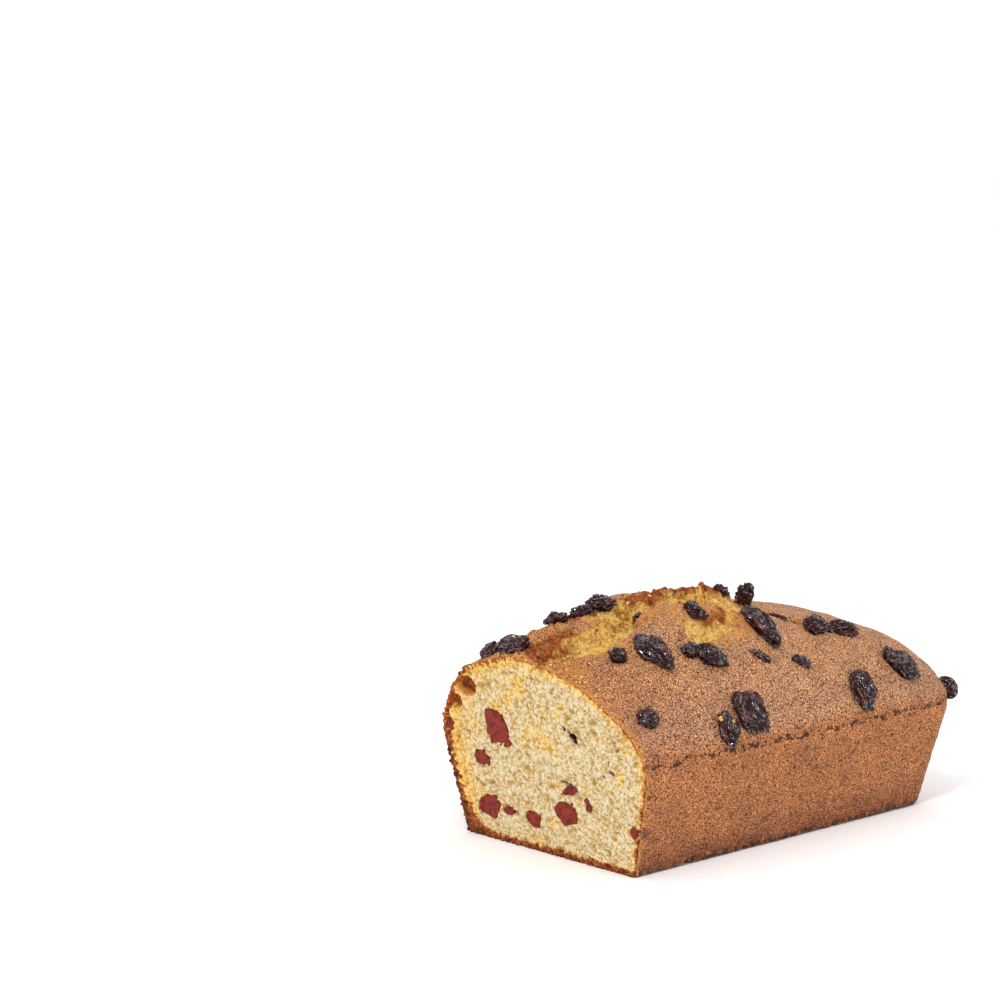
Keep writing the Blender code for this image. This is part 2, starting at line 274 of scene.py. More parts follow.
# Camera and stage. Each light has a place, a size and a power.
CAMERA_FROM_FAR_END = (-0.8688, -0.7392, 0.2778)
CAMERA_AZIMUTH = 42.54
CAMERA_ELEVATION = 8.32
CAMERA_LENS = 105
CAMERA_SENSOR = 36
LIGHTS = {"key": ((-0.9, -0.5, 1.3), 0.20, 8), "fill": ((0.7, -1.6, 0.8), 0.35, 5)}
LIGHT_AIM = (0, 0, 0.04)
SKY_STRENGTH = 1.06
FLOOR_REACH = 6

# What several steps use: the finished shell and the frame's shift.
SHARED = {}


def colour_property(name, description, default):
    return FloatVectorProperty(
        name=name, description=description, default=default,
        subtype="COLOR", size=3, min=0, max=1,
    )


class LoafSizes(bpy.types.PropertyGroup):
    grain: FloatProperty(
        name="Crust grain", description="Height of the crust's fine grain",
        default=0.00016, subtype="DISTANCE", unit="LENGTH",
    )
    crumb: FloatProperty(
        name="Crumb roughness", description="Height of the cut crumb's lumps",
        default=0.00048, subtype="DISTANCE", unit="LENGTH",
    )
    collar: FloatProperty(
        name="Collar", description="How far the crust climbs around a cranberry",
        default=0.0006, subtype="DISTANCE", unit="LENGTH",
    )
    fold: FloatProperty(
        name="Cranberry folds", description="Depth of a dried cranberry's folds",
        default=0.0012, subtype="DISTANCE", unit="LENGTH",
    )


class LoafColours(bpy.types.PropertyGroup):
    crust: colour_property("Crust", "Side crust", (0.42, 0.146, 0.051))
    # The dome's paler, greyer crust: its own colour with painted sheen
    crust_top_and_sheen: colour_property("Dome crust", "Crust of the dome", (0.46, 0.200, 0.090))
    crust_low: colour_property("Lowest crust", "Crust near the base", (0.25, 0.074, 0.026))
    # Painted shade: a greyer, patchy band on the shoulder above the rim
    shoulder_shade: colour_property("Dull crust", "Smooth dull crust above the rim", (0.33, 0.155, 0.098))
    gold: colour_property("Golden crust", "Crust where it turns to crumb", (0.60, 0.235, 0.058))
    toasted: colour_property("Toasted", "Browned crags", (0.34, 0.082, 0.015))
    # Painted shade: the near black inside holes, cracks and pores, and in browned hollows
    hole_shade: colour_property("Holes", "Inside of small holes", (0.045, 0.014, 0.007))
    crumb: colour_property("Crumb", "Pale crumb", (0.735, 0.630, 0.425))
    crumb_gold: colour_property("Yellow crumb", "Yellow crumb", (0.96, 0.585, 0.120))
    # Painted shade: the colours of the crumb's hollows and pores
    crumb_hollow_shade: colour_property("Deep yellow crumb", "Hollows of yellow crumb", (0.58, 0.320, 0.050))
    crumb_pore_shade: colour_property("Pores", "Pores of the crumb", (0.52, 0.305, 0.058))
    zest: colour_property("Zest", "Orange zest", (0.70, 0.32, 0.03))
    # Fruit stains, and painted shade under each cranberry
    stain_and_shade: colour_property("Fruit stain", "Crust stained by fruit", (0.15, 0.055, 0.045))
    skin: colour_property("Cranberry", "Dried cranberry skin", (0.034, 0.007, 0.007))
    skin_red: colour_property("Red skin", "Thin red skin", (0.110, 0.012, 0.009))
    flesh: colour_property("Cut cranberry", "Cut cranberry flesh", (0.30, 0.030, 0.015))
    flesh_dark: colour_property("Dark flesh", "Dark cut flesh", (0.15, 0.012, 0.008))
    floor: colour_property("Floor", "Studio floor", (0.95, 0.95, 0.95))


# ---------------------------------------------------------------- form


def corner(a, b):
    """Moves a point of a square corner onto a round one of the same reach."""
    reach = math.hypot(a, b)
    if reach == 0:
        return 0.0, 0.0
    return a * max(a, b) / reach, b * max(a, b) / reach


def clamp(share):
    return min(1.0, max(0.0, share))


def fade(share):
    """Smooth step from 1 at share 0 down to 0 at share 1."""
    share = clamp(share)
    return 1 - share * share * (3 - 2 * share)


def off_line(x, y, start, end):
    """Distance on the dome from a place to the line between two others."""
    run_x, run_y = end[0] - start[0], end[1] - start[1]
    to_x, to_y = x - start[0], y - start[1]
    share = clamp((to_x * run_x + to_y * run_y) / (run_x * run_x + run_y * run_y))
    return math.hypot(to_x - run_x * share, to_y - run_y * share)


def crown(along):
    """Height of the ridge."""
    if along < CROWN_AT:
        return CROWN_HEIGHT - CROWN_FALL_NEAR * (1 - along / CROWN_AT) ** 1.3
    return CROWN_HEIGHT - CROWN_FALL_FAR * ((along - CROWN_AT) / (LENGTH - CROWN_AT)) ** 1.2


def dome(along, across):
    """Height of the smooth dome above the rim."""
    half = RIM_WIDTH / 2
    far = clamp(along / LENGTH)
    if across > RIDGE_ACROSS:
        side = (across - RIDGE_ACROSS) / (half - RIDGE_ACROSS)
        power, bend = 2.2 + 0.5 * far, 0.92 - 0.12 * far
    else:
        side = (RIDGE_ACROSS - across) / (half + RIDGE_ACROSS)
        power, bend = 2.15 + 0.5 * far, 1 - 0.3 * far
    end = max(0.0, (along - END_START) / (LENGTH - END_START))
    rise = max(0.0, 1 - min(1.0, side) ** power) ** bend
    return (crown(along) - RIM_HEIGHT) * rise * max(0.0, 1 - min(1.0, end) ** 14) ** 0.6


def relief(along, across):
    """Height that lumps, tears and swollen lobes add to the dome."""
    height = 0.0
    for spacing, size in LUMPS:
        height += size * noise.noise(Vector((along, across, 0)) / spacing)
    for start, end, half, size in SWELLS:
        height += size * fade(off_line(along, across, start, end) / half)
    torn = 0.0
    for start, end, half, depth in TEARS:
        inside = fade(off_line(along, across, start, end) / half * 1.5 - 0.5)
        torn = max(torn, depth * inside)
    crag = noise.noise(Vector((along, across, 1)) / CRAG_SPACING)
    return height - torn + TEAR_CRAG * crag * min(1.0, torn / TEAR_CRAG)


def loaf_place(u, v, w):
    """Place on the loaf of a point of the cube from -1 to 1, with where it is on the dome."""
    half = RIM_WIDTH / 2
    along, across, z = (u + 1) / 2 * LENGTH, v * half, (w + 1) / 2 * RIM_HEIGHT
    bend = BASE_CORNER + (RIM_CORNER - BASE_CORNER) * z / RIM_HEIGHT
    inner_x = min(along, LENGTH - bend)
    inner_y = max(-(half - bend), min(half - bend, across))
    a, b = (along - inner_x) / bend, (across - inner_y) / bend
    reach = math.hypot(a, b)
    out = max(abs(a), abs(b)) * bend
    if z < BASE_EDGE and out > bend - BASE_EDGE:
        p, q = corner((out - bend) / BASE_EDGE + 1, 1 - z / BASE_EDGE)
        out, z = bend - BASE_EDGE + BASE_EDGE * p, BASE_EDGE - BASE_EDGE * q
    if z > RIM_HEIGHT - SHOULDER and out > bend - SHOULDER:
        p, q = corner((out - bend) / SHOULDER + 1, (z - RIM_HEIGHT) / SHOULDER + 1)
        out, z = bend - SHOULDER + SHOULDER * p, RIM_HEIGHT - SHOULDER + SHOULDER * q
    if reach:
        inner_x, inner_y = inner_x + out * a / reach, inner_y + out * b / reach
    low = z / RIM_HEIGHT
    z += low * (dome(inner_x, inner_y) + relief(inner_x, inner_y) * low)
    low = min(1.0, z / RIM_HEIGHT)
    y = inner_y * (BASE_WIDTH + (RIM_WIDTH - BASE_WIDTH) * low) / RIM_WIDTH
    x = inner_x * (1 - END_SLOPE * (1 - low) / LENGTH)
    return Vector((x - CUT_LEAN * z * (1 - x / LENGTH) ** 2, y, z)), inner_x, inner_y


def cube_grid(cells):
    """A cube from -1 to 1, open below, with that many cells along each axis."""
    bm = bmesh.new()
    bmesh.ops.create_cube(bm, size=2)
    for axis, count in enumerate(cells):
        edges = edges_along(bm, axis, lambda v: v.co)
        bmesh.ops.subdivide_edges(bm, edges=edges, cuts=count - 1, use_grid_fill=True)
        if axis == 1:
            base = [f for f in bm.faces if f.normal.z < -0.5]
            bmesh.ops.delete(bm, geom=base, context="FACES")
    return bm


def middle(places):
    low = [min(place[i] for place in places) for i in range(3)]
    high = [max(place[i] for place in places) for i in range(3)]
    return Vector(((low[0] + high[0]) / 2, (low[1] + high[1]) / 2, low[2]))


def frame_shift():
    """From the form's own corner to where the frame holds the loaf."""
    grid = cube_grid(SOLID_CELLS)
    own = middle([loaf_place(*v.co)[0] for v in grid.verts])
    grid.free()
    return middle(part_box("loaf")) - own


def frame_shift_once():
    if "shift" not in SHARED:
        SHARED["shift"] = frame_shift()
    return SHARED["shift"]


# ---------------------------------------------------------------- surface detail


def drift(point):
    """A smooth push that belongs to a place, the same in every run."""
    aside = Vector((31.7, -12.3, 7.9))
    return Vector((noise.noise(point + aside), noise.noise(point), noise.noise(point - aside)))


def picked(point):
    """An even draw from 0 to 1 that belongs to one cell of a pattern."""
    return (noise.cell(point * 5.3) + 1) / 2


def holes(place, out, kinds, crowd=1.0):
    """Depth of the small hole that a place is in, and how far inside it the place is."""
    depth = inside = 0.0
    for spacing, share, size in kinds:
        middle_of_cell = noise.voronoi(place / spacing)[1][0]
        pick, most = picked(middle_of_cell), share * crowd
        if pick < most:
            radius = size * (0.5 + 0.5 * pick / most)
            gap = place - middle_of_cell * spacing
            share_in = fade((gap - out * gap.dot(out)).length / radius)
            depth, inside = max(depth, share_in * radius), max(inside, share_in)
    return depth, inside


def spot(x, y, row):
    """How far inside a turned oval spot a place is, 1 at its middle and 0 at its edge."""
    middle_x, middle_y, half_x, half_y, turn = row[:5]
    turn = math.radians(turn)
    x, y = x - middle_x, y - middle_y
    across = (x * math.cos(turn) + y * math.sin(turn)) / half_x
    up = (y * math.cos(turn) - x * math.sin(turn)) / half_y
    return fade(math.hypot(across, up) * 0.75)


def torn_share(along, across, ragged):
    """1 where the crust is torn open, 0 where it is whole, and how close whole crust is to that."""
    torn = near = 0.0
    for start, end, half in TORN:
        gap = off_line(along, across, start, end) + ragged - half
        torn = max(torn, fade(gap / TORN_EDGE + 0.5))
        near = max(near, fade(gap / TORN_FRINGE))
    return torn, near


def band_share(bands, blur, along, across, ragged):
    """The largest share that any of the bands gives a place."""
    most = 0.0
    for start, end, half, share in bands:
        gap = off_line(along, across, start, end) + ragged - half
        most = max(most, share * fade(gap / blur + 0.5))
    return most


def flakes(place, along, across, ragged):
    """Height of the broken crust's flakes, and how deep in a crack between two a place is."""
    gap = min(off_line(along, across, s, e) - half for s, e, half in FLAKED)
    share = fade((gap + ragged) / FLAKED_BLUR + 0.5)
    if not share:
        return 0.0, 0.0
    bent = place + drift(place / 0.0040) * 0.0016
    far, cells = noise.voronoi(bent / FLAKE)
    open_share = clamp(0.5 + 1.5 * noise.noise(place / 0.0070))
    crack = share * open_share * fade((far[1] - far[0]) / FLAKE_CRACK)
    rise = picked(cells[0]) - 0.35 + 0.4 * noise.noise(place / 0.0030)
    return share * FLAKE_RISE * (rise - 0.9 * crack), crack


def crumb_height(place, out, size, open_share=1.0):
    """Height of the crumb's lumps over its pores, and how far inside a pore a place is."""
    place = place + drift(place / 0.0028) * 0.0013
    place += drift(place / 0.0009) * 0.0004
    depth, inside = holes(place, out, CRUMB_HOLES)
    lumps = 0.5 - noise.voronoi(place / 0.0015)[0][0]
    lumps += noise.fractal(place / 0.0020, 0.9, 2.1, 3)
    return size * lumps - depth * 0.9 * open_share, inside


def berry_pocket(tree, place, out, collar):
    """How far the crust rises or sinks at a cranberry, and the painted shade and dark ring there."""
    near = tree.find_nearest(place, PROBE)
    if near[0] is None:
        return 0.0, 0.0
    above = tree.ray_cast(place + out * PROBE, -out, 2 * PROBE)
    below = tree.ray_cast(place - out * PROBE, out, 2 * PROBE)
    if above[0] and below[0] and above[3] < PROBE + PROBE_SLACK and below[3] < PROBE:
        return below[3] - PROBE - POCKET_GAP, 1.0
    gap = near[3] + 0.0004 * noise.noise(place / 0.002)
    climb = 0.4 + noise.noise(place / 0.006)
    return collar * climb * fade(gap / COLLAR_REACH), fade(gap / DARK_RING_REACH)


def crust_holes(place, out):
    """Depth of the crust's small holes, how far inside one a place is, and the row at the foot."""
    crowd = 0.8 + noise.noise(place / PATCH_SPACING)
    depth, inside = holes(place, out, CRUST_HOLES, max(0.1, crowd))
    line = RIM_LINE + 0.0016 * noise.noise(place / WAVE_SPACING)
    line += 0.0005 * noise.noise(place / 0.004)
    at_rim = fade(abs(place.z - line) / 0.0016)
    # This foot band also gets a broken line of painted shade in the crust's material
    at_foot = fade((place.z - 0.0010) / 0.0034)
    rim_crowd = 0.6 + noise.noise(place / 0.012)
    rows = ((at_rim, 0.3, RIM_HOLES, rim_crowd), (at_foot, 0.2, FOOT_HOLES, 1.0))
    for share, least, kinds, row_crowd in rows:
        if share > least:
            more, hollow = holes(place, out, kinds, row_crowd)
            depth, inside = max(depth, more * share), max(inside, hollow * share)
    return depth, inside, at_foot


def torn_crumb(place, out, brown, crag):
    """Height and browning of torn crumb, and how far inside a pore a place is."""
    rough, pore_shade = crumb_height(place, out, TORN_ROUGH, 0.3)
    height = rough - TORN_STEP * (1 - min(1.0, brown)) + CRAG_RISE * crag
    return height, clamp(brown * (0.75 + 0.9 * crag) + 0.45 * crag - 0.12), pore_shade


def crust_detail(place, out, along, across, sizes, berries, stains):
    """Height of the fine crust over the smooth form, and its masks, at a place of the form."""
    masks = dict.fromkeys(CRUST_MASKS, 0.0)
    z = place.z
    # Where the dome takes its paler crust with painted sheen, less of it near the cut
    masks["top"] = fade((RIM_HEIGHT + 0.004 - z) / 0.006) * (1 - 0.7 * fade(along / 0.045))
    masks["low"] = fade((z + 0.004 * noise.noise(place / WAVE_SPACING)) / 0.016)
    grain = noise.fractal(place / GRAIN_SPACING, 0.6, 2.2, 3)
    height = sizes.grain * grain + 0.00025 * noise.noise(place / WAVE_SPACING)
    depth, inside, masks["foot"] = crust_holes(place, out)

    ragged = TORN_RAGGED * noise.fractal(place / RAGGED_SPACING, 0.8, 2.1, 3)
    torn, near = torn_share(along, across, ragged)
    torn *= fade((RIM_HEIGHT + 0.012 - z) / 0.006)
    golden = band_share(GOLDEN, GOLDEN_BLUR, along, across, ragged)
    crag = 0.5 - 1.3 * abs(noise.noise(place / CRAG_RIDGES))
    crag += 0.7 * noise.fractal(place / CRAG_FINE, 0.8, 2.1, 4)
    if torn > 0:
        brown = band_share(TOASTED, TOASTED_BLUR, along, across, ragged * 1.5)
        rise, masks["browned"], pore_shade = torn_crumb(place, out, brown, crag)
        height += torn * rise
        inside = max(inside * (1 - torn), torn * pore_shade * 0.15)
        depth *= 1 - torn
    masks["gold"] = max(golden, torn, 0.7 * near)
    flake, crack = flakes(place, along, across, ragged)
    height += flake + (1 - torn) * golden * CRAG_RISE * 0.5 * crag
    # Cracks between flakes turn browner and get painted shade through the pit mask
    masks["browned"] = max(masks["browned"], 0.9 * crack)
    inside = max(inside, (1 - torn) * fade((1 - crack) * 2) * 0.7)
    masks["torn"] = torn

    cut = along + 0.0012 * noise.noise(place / 0.003)
    edge = 0.0026 + 0.0022 * fade((RIM_HEIGHT - z) / 0.010 + 0.5)
    masks["gold"] = max(masks["gold"], 0.9 * fade(cut / edge))
    spikes = 0.0005 + 0.0007 * fade((0.02 - place.y) / 0.02 + 0.5)
    height += spikes * fade(along / 0.0018) * noise.fractal(place / 0.0014, 0.6, 2.2, 3)

    # Painted shade on the shoulder: a greyer patchy band above the rim
    shoulder = fade(abs(z - RIM_HEIGHT - 0.008) / 0.011)
    masks["shoulder_shade"] = shoulder * clamp(0.5 + 1.2 * noise.noise(place / PATCH_SPACING))

    if z < RIM_HEIGHT:
        for row in stains[place.y > 0]:
            stained_and_shaded = spot(along, z, row)
            masks["stain_and_shade"] = max(masks["stain_and_shade"], stained_and_shaded)
            depth = max(depth, stained_and_shaded * 0.0003)

    # Painted shade in the pocket under each cranberry and a darker ring round it, in the stain
    # colour
    sink, stained_and_shaded = berry_pocket(berries, place, out, sizes.collar)
    masks["stain_and_shade"] = max(masks["stain_and_shade"], stained_and_shaded * 0.8)
    if sink < 0:
        return sink, masks
    # Painted shade inside the crust's holes, the cracks between flakes and torn crumb's pores
    masks["pit_shade"] = inside
    return height + sink - depth, masks


def mask_layers(bm, names):
    """Adds a layer for each mask, and looks them up once all are there, as adding one moves them."""
    for name in names:
        bm.verts.layers.float.new(name)
    return {name: bm.verts.layers.float[name] for name in names}


def keep_normals(bm):
    """Stores each point's normal, for pieces that are cut from this mesh."""
    bm.normal_update()
    lean = bm.verts.layers.float_vector["lean"]
    for vert in bm.verts:
        vert[lean] = vert.normal


def edges_along(bm, axis, place_of):
    """Edges that run along an axis, by the places of their points."""
    ends = ((e, place_of(e.verts[0]) - place_of(e.verts[1])) for e in bm.edges)
    return [e for e, run in ends if abs(run[axis]) > NOTHING]


def crust_shell(sizes, berries, stains):
    """The loaf's whole outside but its base as one fine grid, with its masks."""
    bm = cube_grid((ALONG_CELLS, ACROSS_CELLS, HEIGHT_CELLS))
    for name in ("cube", "lean"):
        bm.verts.layers.float_vector.new(name)
    masks = mask_layers(bm, CRUST_MASKS)
    cube = bm.verts.layers.float_vector["cube"]
    shift = frame_shift_once()
    on_dome = []
    for vert in bm.verts:
        vert[cube] = vert.co
        u, v, w = vert.co
        v = v * (1 + CROWDING) - CROWDING * v ** 3
        place, along, across = loaf_place(u, v, w)
        vert.co = place + shift
        on_dome.append((along, across))
    bm.normal_update()
    outs = [vert.normal.copy() for vert in bm.verts]
    for vert, out, (along, across) in zip(bm.verts, outs, on_dome):
        u, v, w = vert[cube]
        if u < -AT_FACE and abs(v) < AT_FACE and abs(w) < AT_FACE:
            continue
        height, values = crust_detail(vert.co, out, along, across, sizes, berries, stains)
        vert.co += out * height
        vert.co.z = max(0.0, vert.co.z)
        for name, layer in masks.items():
            vert[layer] = values[name]
    keep_normals(bm)
    return bm


def part_of(shell, keep):
    """A copy of the shell's faces whose middle, on the cube, passes a test."""
    bm = shell.copy()
    cube = bm.verts.layers.float_vector["cube"]
    spare = [f for f in bm.faces if not keep(sum((v[cube] for v in f.verts), Vector()) / 4)]
    bmesh.ops.delete(bm, geom=spare, context="FACES")
    return bm


def lay_out_map(bm, place_on_map):
    """Gives the piece its texture map from where each corner is on the cube."""
    cube = bm.verts.layers.float_vector["cube"]
    flat = bm.loops.layers.uv.new("OFBake")
    for face in bm.faces:
        centre = sum((v[cube] for v in face.verts), Vector()) / len(face.verts)
        for loop in face.loops:
            loop[flat].uv = place_on_map(loop.vert[cube], centre)


def dome_map(cube, _centre):
    return 0.5 + cube.x * 0.49, 0.5 + cube.y * 0.49


def sides_map(cube, centre):
    """Near side, far side, end and base, one strip above the other."""
    up = (cube.z + 1) * 0.09
    if abs(centre.z) > AT_FACE:
        return 0.39 + cube.x * 0.38, 0.79 + cube.y * 0.19
    if centre.y < -AT_FACE:
        return 0.39 + cube.x * 0.38, 0.01 + up
    if centre.y > AT_FACE:
        return 0.39 + cube.x * 0.38, 0.20 + up
    return 0.39 + cube.y * 0.25, 0.39 + up


def corner_normals(mesh, leans):
    """The shell's own normals at the corners of small faces, and flat ones on a large face."""
    normals = []
    for face in mesh.polygons:
        for index in face.vertices:
            normals.append(face.normal.copy() if len(face.vertices) > 4 else leans[index])
    return normals


def add_object(name, data):
    """A new object of the scene with that data."""
    made = bpy.data.objects.new(name, data)
    bpy.context.scene.collection.objects.link(made)
    return made


def finish_piece(name, bm, surface, nodes):
    """Makes the mesh a piece of the loaf's body that stands for its solids."""
    lean = bm.verts.layers.float_vector.get("lean")
    leans = [vert[lean].copy() for vert in bm.verts] if lean else None
    for layer in ("cube", "lean"):
        spare = bm.verts.layers.float_vector.get(layer)
        if spare:
            bm.verts.layers.float_vector.remove(spare)
    mesh = bpy.data.meshes.new(name)
    bm.to_mesh(mesh)
    bm.free()
    mesh.shade_smooth()
    if leans:
        mesh.normals_split_custom_set(corner_normals(mesh, leans))
    mesh.materials.append(surface)
    piece = add_object(name, mesh)
    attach(piece, BODY)
    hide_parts(*nodes)
    return piece


def crumb_detail(place, out, edge, sizes):
    """Depth-wise move of the cut crumb at a place, and its masks. Edge is the way to its outline."""
    masks = dict.fromkeys(CRUMB_MASKS, 0.0)
    far = edge.length
    height, pore_shade = crumb_height(place, out, sizes.crumb)
    y, z = place.y, place.z
    settle = 1 - fade(far / 0.0007)
    ragged = noise.fractal(place / 0.0022, 0.6, 2.2, 3)
    way = edge / far if far > NOTHING else Vector((0, 0, 1))
    left = max(0.0, way.y)
    thick = 0.0005 + 0.0021 * max(0.0, -way.z) + 0.0022 * left + 0.0002 * max(0.0, -way.y)
    thick += 0.0060 * fade(math.hypot(y - 0.045, z) / 0.016)
    deep = far + (0.0010 + 0.0012 * left) * ragged
    char_and_shade = 1 + 0.7 * fade(deep / thick) * fade((z - 0.030) / 0.015)
    masks["browned"] = char_and_shade * fade((deep - thick) / 0.0012 + 0.5)
    yellow = fade(0.95 - 1.6 * noise.noise(place / 0.011) - 0.6 * ragged)
    upper_far = fade((0.045 - z) / 0.02 + 0.4) * fade((0.012 - y) / 0.018)
    masks["gold"] = max(
        0.95 * fade((far + 0.0014 * ragged) / (0.0045 + 0.0150 * left)),
        yellow * upper_far,
        0.65 * fade(1.9 - 3.2 * noise.noise(place / 0.006 + Vector((7, 3, 1)))),
    )
    fruit_and_shade = depth = 0.0
    for row in BUBBLES:
        reach = math.hypot((y - row[0]) / row[2], (z - row[1]) / row[3]) + 0.08 * ragged
        if reach < 1.15:
            hollow = math.sqrt(max(0.0, 1 - reach * reach))
            depth = max(depth, row[5] * hollow)
            masks["browned"] = max(masks["browned"], fade((reach - 0.75) / 0.4))
            pore_shade *= fade((1.15 - reach) / 0.3)
    for row in CUT_MARKS:
        inside = spot(y + 0.0005 * ragged, z, row)
        depth = max(depth, row[5] * inside)
        fruit_and_shade = max(fruit_and_shade, row[6] * min(1.0, inside * 2.5))
    near, cells = noise.voronoi(place / 0.0062)
    if picked(cells[0]) < 0.16:
        masks["zest"] = fade((near[0] * 0.0062 + 0.0004 * ragged) / 0.0013)
    masks["fruit_and_shade"] = fruit_and_shade
    masks["pore_shade"] = pore_shade
    return (height - depth) * settle, masks


def crumb_face(shell, sizes, berries):
    """The cut face, with finer cells than the shell it fills."""
    bm = part_of(shell, lambda c: c.x < -AT_FACE)
    for name in CRUST_MASKS:
        bm.verts.layers.float.remove(bm.verts.layers.float[name])
    masks = mask_layers(bm, CRUMB_MASKS)
    for axis, cuts in ((2, CUT_SPLITS), (1, 1)):
        cube = bm.verts.layers.float_vector["cube"]
        edges = edges_along(bm, axis, lambda v: v[cube])
        bmesh.ops.subdivide_edges(bm, edges=edges, cuts=cuts, use_grid_fill=True)
    rim = [v for v in bm.verts if v.is_boundary]
    outline = KDTree(len(rim))
    for index, vert in enumerate(rim):
        outline.insert(vert.co, index)
    outline.balance()
    out = Vector((-1, 0, -CUT_LEAN)).normalized()
    for vert in bm.verts:
        edge = outline.find(vert.co)[0] - vert.co
        move, values = crumb_detail(vert.co, out, edge, sizes)
        if not vert.is_boundary:
            sink, stained_and_shaded = berry_pocket(berries, vert.co, out, 0)
            move = max(sink, -CUT_SINK) if sink < 0 else move
            # Painted shade in the pocket behind a cut cranberry, in the slits' near black
            values["fruit_and_shade"] = max(values["fruit_and_shade"], 0.3 * fade((1 - stained_and_shaded) * 5))
            vert.co += out * move
        for name, layer in masks.items():
            vert[layer] = values[name]
    keep_normals(bm)
    return bm


# ---------------------------------------------------------------- cranberries


def node_copy(name):
    """The node's solid as a closed mesh."""
    bm = bmesh.new()
    bm.from_mesh(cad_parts[name].data)
    bmesh.ops.remove_doubles(bm, verts=bm.verts, dist=NOTHING)
    return bm


def joined_solids(names):
    bm = bmesh.new()
    for name in names:
        bm.from_mesh(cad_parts[name].data)
    tree = BVHTree.FromBMesh(bm)
    bm.free()
    return tree


def rounded(bm, levels):
    """The mesh after smooth subdivision."""
    mesh = bpy.data.meshes.new("coarse")
    bm.to_mesh(mesh)
    bm.free()
    obj = add_object("coarse", mesh)
    smooth = obj.modifiers.new("smooth", "SUBSURF")
    smooth.levels = smooth.render_levels = levels
    evaluated = obj.evaluated_get(bpy.context.evaluated_depsgraph_get())
    fine = bmesh.new()
    fine.from_mesh(evaluated.to_mesh())
    bpy.data.objects.remove(obj)
    bpy.data.meshes.remove(mesh)
    return fine


def own_axes(bm):
    """Middle of a mesh, its axes from the longest to the shortest, and its half sizes."""
    points = np.array([v.co for v in bm.verts])
    centre = points.mean(0)
    _, turned = np.linalg.eigh(np.cov((points - centre).T))
    turned = turned[:, ::-1]
    reach = np.abs((points - centre) @ turned).max(0)
    return Vector(centre), Matrix(turned.T.tolist()), Vector(reach)


def wrinkled(bm, fold, seed):
    """Folds the skin into sharp ridges, most of them along the fruit, with fine ones between."""
    centre, axes, reach = own_axes(bm)
    offset = Vector((seed * 3.7, seed * 1.9, 0))
    bm.verts.layers.float.new("crease")
    own = bm.verts.layers.float_vector.new("own")
    crease = bm.verts.layers.float["crease"]
    bm.normal_update()
    outs = [v.normal.copy() for v in bm.verts]
    for vert, out in zip(bm.verts, outs):
        local = axes @ (vert.co - centre)
        place = Vector(local[i] / reach[i] for i in range(3))
        bend = drift(place * 1.4 + offset) * 0.6
        long_way = Vector((place.x * 0.9, place.y * 2.8, place.z * 2.8)) + bend + offset
        ridge = (1 - min(1.0, abs(noise.noise(long_way)) * 3.4)) ** 1.3
        small = Vector((local.x * 170, local.y * 480, local.z * 480)) + bend * 2 + offset
        crinkle = (1 - min(1.0, abs(noise.noise(small)) * 3.0)) ** 1.3
        swell = noise.noise(place * 1.2 - offset)
        tip = max(0.0, abs(place.x) - 0.7) ** 2 * (1 + noise.noise(place * 2 + offset))
        vert.co += out * fold * (0.85 * swell + 0.85 * ridge + 0.34 * crinkle + 8 * tip - 0.6)
        vert[crease] = (1 - ridge) * (1 - 0.8 * crinkle)
        vert[own] = Vector((local.x * 0.35, local.y, local.z)) + bend * 0.0006


def add_cranberry(name, surface, fold, seed):
    solid = node_copy(name)
    _, _, reach = own_axes(solid)
    bm = rounded(solid, 3 if reach.x > 0.0045 else 2)
    centre, _, now = own_axes(bm)
    grow = Matrix.Scale(reach.x / now.x, 4)
    bmesh.ops.transform(
        bm, verts=bm.verts, space=Matrix.Translation(-centre), matrix=grow,
    )
    wrinkled(bm, fold, seed)
    finish_piece(name + "_skin", bm, surface, [name])


def add_cut_cranberry(name, surface, seed):
    """A flat cut piece, its front roughened and its rim made angular and uneven."""
    bm = node_copy(name)
    bmesh.ops.subdivide_edges(bm, edges=bm.edges, cuts=5, use_grid_fill=True)
    bm.normal_update()
    offset = Vector((seed, 0, 0))
    outs = [v.normal.copy() for v in bm.verts]
    centre, _, reach = own_axes(bm)
    for vert, out in zip(bm.verts, outs):
        rough = noise.fractal(vert.co / 0.0017 + offset, 0.7, 2.1, 3)
        place = vert.co - centre
        far = math.hypot(place.y, place.z)
        square = (place.y ** 4 + place.z ** 4) ** 0.25
        swell = (far / square) ** 0.9 if square else 1
        bend = drift(vert.co / 0.0040 + offset) * 0.0012
        bend += drift(vert.co / 0.0012 + offset) * 0.0003
        vert.co += out * 0.00030 * rough
        vert.co.y += place.y * (swell - 1) + bend.y
        vert.co.z += place.z * (swell - 1) + bend.z
    finish_piece(name + "_flesh", bm, surface, [name])


def resting_place(trees, along, across):
    """Where something that lies on the dome touches it, and the way out from there."""
    cube = (along / LENGTH * 2 - 1, across / RIM_WIDTH * 2, 1)
    place = loaf_place(*cube)[0] + frame_shift_once()
    out = trees[0].find_nearest(place)[1]
    hits = [tree.ray_cast(place + out * PROBE * 2, -out) for tree in trees]
    return min((hit for hit in hits if hit[0]), key=lambda hit: hit[3])[:2]


